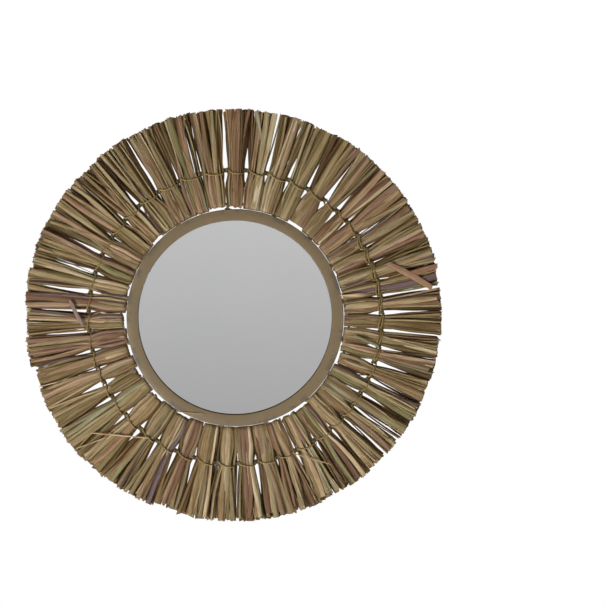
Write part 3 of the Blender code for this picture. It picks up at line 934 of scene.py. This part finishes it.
# Ten loose strips of the same dried leaf lie askew across the front of the bundles, as if
# caught there when these were tied.
LOOSE_LEAVES = (
    ((0.1407, 0.0494), (0.1811, 0.0273), 0.0060, (0.232, 0.136, 0.077), 0.0083),
    ((0.1857, 0.0476), (0.1554, 0.0384), 0.0060, (0.205, 0.115, 0.064), 0.0074),
    ((-0.1327, -0.1058), (-0.0790, -0.1106), 0.0014, (0.330, 0.225, 0.120), 0.0074),
    ((-0.1454, -0.1199), (-0.1190, -0.1100), 0.0013, (0.300, 0.215, 0.110), 0.0078),
    ((-0.0530, -0.0862), (-0.0290, -0.0885), 0.0010, (0.240, 0.200, 0.080), 0.0044),
    ((0.1096, -0.0163), (0.1318, -0.0262), 0.0027, (0.190, 0.180, 0.100), 0.0066),
    ((0.0966, 0.0203), (0.1290, 0.0212), 0.0038, (0.330, 0.235, 0.125), 0.0058),
    ((0.0525, -0.1240), (0.0880, -0.1345), 0.0012, (0.320, 0.220, 0.115), 0.0074),
    ((-0.1700, 0.0880), (-0.1350, 0.0760), 0.0011, (0.280, 0.190, 0.100), 0.0080),
    ((-0.1514, 0.0158), (-0.1399, -0.0067), 0.0036, (0.195, 0.142, 0.120), 0.0076),
)
LOOSE_STEPS = 10
LOOSE_HOLLOW = -0.1
LOOSE_BOW = 0.0008
LOOSE_ARCH = 0.0004
LOOSE_END_WIDTH = 0.75
LOOSE_TILT = 8
LOOSE_TWIST = 14
LOOSE_SLANT_RATIO = 5
PRESS_REACH = 0.003
PRESS_GAP = 0.0006
BROAD_LEAF = 0.0025


def make_loose_leaves(rng, finish):
    """Every loose strip as a bowed, hollowed blade lying on the front of the wreath."""
    points, faces, tones, places = [], [], [], []
    for (start_x, start_z), (end_x, end_z), width, tone, lift in LOOSE_LEAVES:
        share = np.linspace(0, 1, LOOSE_STEPS)
        bow = rng.gauss(0, LOOSE_BOW) * np.sin(math.pi * share)
        line = np.stack([
            start_z + (end_z - start_z) * share,
            start_x + (end_x - start_x) * share + bow,
            wire_y - lift - LOOSE_ARCH * np.sin(math.pi * share),
        ], axis=1)
        widths = width * (LOOSE_END_WIDTH + (1 - LOOSE_END_WIDTH) * np.sin(math.pi * share))
        steady = min(1, BROAD_LEAF / width) ** 2
        tilt = np.radians(rng.gauss(0, LOOSE_TILT) + rng.gauss(0, LOOSE_TWIST) * share) * steady
        hollow = np.full(LOOSE_STEPS, LOOSE_HOLLOW)
        corners, across, along = strip_mesh(line, widths, tilt, hollow, width / LOOSE_SLANT_RATIO)
        faces += loops_to_faces(LOOSE_STEPS, 2 * len(LEAF_SECTION), False, sum(len(part) for part in points))
        corners = corners.reshape(-1, 3)
        points.append(np.stack([corners[:, 1], corners[:, 2], corners[:, 0] + centre_z], axis=1))
        tones.append(tone_rows(tone, LOOSE_STEPS))
        places.append(np.stack([across.ravel(), along.ravel(), np.full(len(corners), rng.random())], axis=1))
    add_leaf_piece("loose_leaves", np.concatenate(points), faces, tones, places, finish)


def press_strips(start, end, width, depth):
    """The strips under a broad loose leaf are pushed back to just behind it, and ease off around it."""
    start, end = np.array(start), np.array(end)
    way = end - start
    for node in bundle_nodes:
        mesh = bpy.data.objects["leaf_" + node].data
        flat = np.empty(3 * len(mesh.vertices), dtype=np.float32)
        mesh.vertices.foreach_get("co", flat)
        corners = flat.reshape(-1, 3)
        spots = corners[:, (0, 2)] - (0, centre_z) - start
        share = np.clip(spots @ way / (way @ way), 0, 1)
        beside = np.linalg.norm(spots - share[:, None] * way, axis=1) - width / 2
        near = beside < PRESS_REACH
        stop = depth + PRESS_GAP - 2 * PRESS_GAP * np.clip(beside / PRESS_REACH, 0, 1)
        corners[near, 1] = soft_stop(corners[near, 1], stop[near], PRESS_GAP)
        mesh.vertices.foreach_set("co", corners.ravel())
        mesh.update()


make_loose_leaves(random.Random(23), leaf_finish)
for leaf_start, leaf_end, leaf_width, _, leaf_lift in LOOSE_LEAVES:
    if leaf_width > BROAD_LEAF:
        press_strips(leaf_start, leaf_end, leaf_width, wire_y - leaf_lift)

# The twine is two twisted strands that pass in front of and behind the waists in turn and
# cross in every gap. On the right a second pass lies beside the first.
STRAND_RADIUS = 0.00068
STRAND_SIDES = 9
STRAND_LOBES = 3
LOBE_DEPTH = 0.2
TWIST_PITCH = 0.0034
PASS_STEPS = 12
KNOT_STEPS = 20
WAIST_SHARE = 0.8
TWINE_OVER_WAIST = 0.0051
STRAND_OFFSET = 0.0021
PASS_DROP = 0.002
KNOT_RISE = 0.001
KNOT_RADIUS = 0.0011
KNOT_TIGHTENING = 5
KNOT_SWELL = 0.65
KNOT_TURNS = 2
KNOT_SETBACK = 0.0014
TWINE_COLOUR = (0.215, 0.142, 0.038, 1)
TWINE_SHADE = (0.150, 0.101, 0.028, 1)
# Painted shade in the knots, which sit deep in the gaps between bundles.
PAINTED_KNOT_SHADE = (0.040, 0.029, 0.011, 1)
KNOT_SHADE_STRENGTH = 0.92
KNOT_FADE_POWER = 0.5
TWINE_MOTTLE_SCALE = 420
TWINE_GRAIN_SCALE = 2600
TWINE_ROUGHNESS = (0.7, 0.95)
TWINE_GRAIN_DEPTH = 0.5
TWINE_GRAIN_HEIGHT = 0.0002
TWINE_SHARP_ANGLE = 80
TWINE_PULL = (0.92, 1.02)
STRAND_DRIFT = 0.0004
LIFT_POWER = 0.6
SECOND_PASS = (8, 16)
SECOND_PASS_INWARD = 0.0024
INWARD_AT_KNOT = 0.3


def twine_material():
    finish, tree, shader = new_material("olive_twisted_twine")
    surface = use_uneven(tree, TWINE_COLOUR, TWINE_SHADE, TWINE_MOTTLE_SCALE, TWINE_GRAIN_SCALE)
    knot = add_node(tree, "ShaderNodeAttribute", attribute_name="knot_share").outputs["Fac"]
    # Painted shade: the twine darkens into each knot.
    knot_shade = spread(tree, knot, 0, KNOT_SHADE_STRENGTH, 0, 1)
    tree.links.new(blend_colours(tree, knot_shade, surface["Colour"], PAINTED_KNOT_SHADE), shader.inputs["Base Color"])
    tree.links.new(spread(tree, surface["Grain"], *TWINE_ROUGHNESS), shader.inputs["Roughness"])
    add_relief(tree, shader, surface["Grain"], TWINE_GRAIN_DEPTH, TWINE_GRAIN_HEIGHT)
    return finish


def strand_points(numbers, first_side, woven, inward, hand):
    """The middle of a strand, over or under each waist and round its partner in each gap, and
    how far inside a knot each point is."""
    points = []
    knots = []
    for number in numbers:
        angle, half_angle, _ = bundle_places[number]
        side = first_side * (-1) ** number if woven else -1
        sector = tie_radius * math.tan(half_angle)
        over = TWINE_OVER_WAIST * hand.uniform(*TWINE_PULL)
        drift = hand.uniform(-STRAND_DRIFT, STRAND_DRIFT)
        for step in range(PASS_STEPS):
            share = (step + 0.5) / PASS_STEPS
            lift = math.sin(math.pi * share)
            inward_share = INWARD_AT_KNOT + (1 - INWARD_AT_KNOT) * lift
            offset = -side * STRAND_OFFSET * (1 - 2 * share) + drift * lift - inward * inward_share
            across = -math.cos(math.pi * share) * sector * WAIST_SHARE
            strand_y = wire_y + side * over * lift ** LIFT_POWER
            x, depth, z = around(angle, tie_radius + offset, across, strand_y)
            points.append((x, depth, z + KNOT_RISE * (1 - lift) - PASS_DROP * lift))
            knots.append(0)
        next_angle, next_half, _ = bundle_places[(number + 1) % len(bundle_places)]
        next_sector = tie_radius * math.tan(next_half)
        for step in range(KNOT_STEPS):
            share = (step + 0.5) / KNOT_STEPS
            turn = math.tau * share * KNOT_TURNS
            tight = float(smooth_step(min(share, 1 - share) * KNOT_TIGHTENING))
            swing = STRAND_OFFSET + (KNOT_RADIUS - STRAND_OFFSET) * tight
            offset = side * swing * math.cos(turn) - INWARD_AT_KNOT * inward
            depth = wire_y + side * swing * math.sin(turn)
            before = around(angle, tie_radius + offset, sector * WAIST_SHARE, depth)
            after = around(next_angle, tie_radius + offset, -next_sector * WAIST_SHARE, depth)
            x, depth, z = (one + (two - one) * share for one, two in zip(before, after))
            points.append((x, depth + KNOT_SETBACK * math.sin(math.pi * share), z + KNOT_RISE))
            knots.append(math.sin(math.pi * share) ** KNOT_FADE_POWER)
    return np.array(points), np.array(knots)


def strand_mesh(points, knots, closed):
    """A twisted strand with lobes round its section, along a line of points."""
    after = np.roll(points, -1, axis=0)
    before = np.roll(points, 1, axis=0)
    along = after - before
    if not closed:
        along[0] = points[1] - points[0]
        along[-1] = points[-1] - points[-2]
    along /= np.linalg.norm(along, axis=1, keepdims=True)
    outward = points - np.array([0, 0, centre_z])
    outward[:, 1] = 0
    outward -= along * np.sum(outward * along, axis=1, keepdims=True)
    outward /= np.linalg.norm(outward, axis=1, keepdims=True)
    third = np.cross(along, outward)
    steps = np.linalg.norm(after - points, axis=1)
    lengths = np.concatenate([[0], np.cumsum(steps[:-1])])
    total = lengths[-1] + (steps[-1] if closed else 0)
    turns = max(1, round(total / TWIST_PITCH))
    phase = math.tau * turns * lengths / total
    rings = []
    for side in range(STRAND_SIDES):
        turn = math.tau * side / STRAND_SIDES
        radius = STRAND_RADIUS * (1 + LOBE_DEPTH * np.cos(STRAND_LOBES * turn + phase) + KNOT_SWELL * knots)
        rings.append(points + (outward * math.cos(turn) + third * math.sin(turn)) * radius[:, None])
    return np.stack(rings, axis=1).reshape(-1, 3).tolist()


bundle_places = [bundle_place(node) for node in bundle_nodes]
twine_hand = random.Random(17)
twine_points, twine_faces, twine_knots = [], [], []
whole_round = range(len(bundle_places))
runs = [(whole_round, 1, True, 0, True), (whole_round, -1, True, 0, True),
        (range(*SECOND_PASS), 1, False, SECOND_PASS_INWARD, False)]
for run, side, weave, inward, closed in runs:
    middle, knots = strand_points(run, side, weave, inward, twine_hand)
    start = len(twine_points)
    twine_points += strand_mesh(middle, knots, closed)
    twine_knots.append(np.repeat(knots, STRAND_SIDES))
    twine_faces += loops_to_faces(len(middle), STRAND_SIDES, closed, start)
twine_piece = new_piece("waist_twine", twine_points, twine_faces, TWINE_SHARP_ANGLE)
knot_layer = twine_piece.data.attributes.new("knot_share", "FLOAT", "POINT")
knot_layer.data.foreach_set("value", np.concatenate(twine_knots))
twine_piece.data.materials.append(twine_material())
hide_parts("twine")
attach(twine_piece, "root")

# The studio: a pale floor well below, a pale room all round, two soft lamps in front, one
# behind, three beyond the left, top and right of the rim, and a camera straight on. The
# room is darker in front, where the glass looks.
METRES_PER_PIXEL = 0.00092
PICTURE_SIZE = 605
MIRROR_CENTRE_PIXEL = (235.1, 317.7)
LENS = 120
SENSOR = 36
FLOOR_DROP = 1.0
FLOOR_SIZE = 4.4
KEY_LAMP = ((-1.15, -1.6, -0.78), 0.45, 47)
FILL_LAMP = ((0.9, -1.7, -0.5), 0.45, 10)
BACK_LAMP = ((-0.7, 1.5, 0.9), 0.6, 40)
RIM_LAMP_DISTANCE = 1.7
RIM_LAMP_BEHIND = 0.3
RIM_LAMP_SIZE = 0.6
RIM_LAMP_POWER = 22
ROOM_LIGHT = 0.02
FRONT_LIGHT = (0.415, 0.605)
HORIZON = (-0.06, 0.05)
FLOOR_PAINT = (0.82, 0.82, 0.81, 1)
FLOOR_SHADE = (0.8, 0.8, 0.79, 1)
FLOOR_GLOW = 0.6
FLOOR_MOTTLE_SCALE = 2
FLOOR_GRAIN_SCALE = 60
FLOOR_ROUGHNESS = 0.8


def add_lamp(name, place, size, power):
    lamp = bpy.data.lights.new(name, "AREA")
    lamp.shape = "DISK"
    lamp.size = size
    lamp.energy = power
    item = add_object(name, lamp)
    item.location = place
    aim = item.location - item.location.__class__((0, 0, centre_z))
    item.rotation_euler = aim.to_track_quat("Z", "Y").to_euler()


def make_room():
    """Pale all round, with a soft darker horizon in front of the glass."""
    world = bpy.data.worlds.new("pale_room")
    bpy.context.scene.world = world
    world.use_nodes = True
    tree = world.node_tree
    direction = add_node(tree, "ShaderNodeSeparateXYZ",
                         {0: add_node(tree, "ShaderNodeTexCoord").outputs["Generated"]})
    rise = spread(tree, direction.outputs[2], *FRONT_LIGHT, *HORIZON)
    front = add_node(tree, "ShaderNodeCombineColor", {0: rise, 1: rise, 2: rise}).outputs[0]
    ray = add_node(tree, "ShaderNodeLightPath").outputs
    room = blend_colours(tree, ray["Is Glossy Ray"], (ROOM_LIGHT, ROOM_LIGHT, ROOM_LIGHT, 1), front)
    colour = blend_colours(tree, ray["Is Camera Ray"], room, (1.0, 1.0, 1.0, 1))
    background = tree.nodes["Background"]
    tree.links.new(colour, background.inputs["Color"])
    background.inputs["Strength"].default_value = 1.0


def make_floor():
    half = FLOOR_SIZE / 2
    level = centre_z - FLOOR_DROP
    corners = [(-half, -half, level), (half, -half, level), (half, half, level), (-half, half, level)]
    mesh = bpy.data.meshes.new("pale_floor")
    mesh.from_pydata(corners, [], [(0, 1, 2, 3)])
    floor = add_object("pale_floor", mesh)
    finish, tree, shader = new_material("pale_floor_paint")
    surface = use_uneven(tree, FLOOR_PAINT, FLOOR_SHADE, FLOOR_MOTTLE_SCALE, FLOOR_GRAIN_SCALE)
    tree.links.new(surface["Colour"], shader.inputs["Base Color"])
    ray = add_node(tree, "ShaderNodeLightPath").outputs["Is Camera Ray"]
    tree.links.new(surface["Colour"], shader.inputs["Emission Color"])
    tree.links.new(spread(tree, ray, 0, FLOOR_GLOW, 0, 1), shader.inputs["Emission Strength"])
    shader.inputs["Roughness"].default_value = FLOOR_ROUGHNESS
    mesh.materials.append(finish)


make_room()
make_floor()
add_lamp("key_lamp", *KEY_LAMP)
add_lamp("fill_lamp", *FILL_LAMP)
add_lamp("back_lamp", *BACK_LAMP)
for rim_lamp, rim_turn in (("left", -math.pi / 2), ("top", 0), ("right", math.pi / 2)):
    rim_place = around(rim_turn, RIM_LAMP_DISTANCE, 0, RIM_LAMP_BEHIND)
    add_lamp(rim_lamp + "_rim_lamp", rim_place, RIM_LAMP_SIZE, RIM_LAMP_POWER)
bpy.context.scene.view_settings.view_transform = "Standard"

camera_data = bpy.data.cameras.new("front_camera")
camera_data.lens = LENS
camera_data.sensor_width = SENSOR
camera = add_object("front_camera", camera_data)
picture_middle = PICTURE_SIZE / 2
camera_x = (picture_middle - MIRROR_CENTRE_PIXEL[0]) * METRES_PER_PIXEL
camera_z = centre_z + (MIRROR_CENTRE_PIXEL[1] - picture_middle) * METRES_PER_PIXEL
camera_distance = LENS / SENSOR * PICTURE_SIZE * METRES_PER_PIXEL
camera.location = (camera_x, frame_front - camera_distance, camera_z)
camera.rotation_euler = (math.pi / 2, 0, 0)
bpy.context.scene.camera = camera
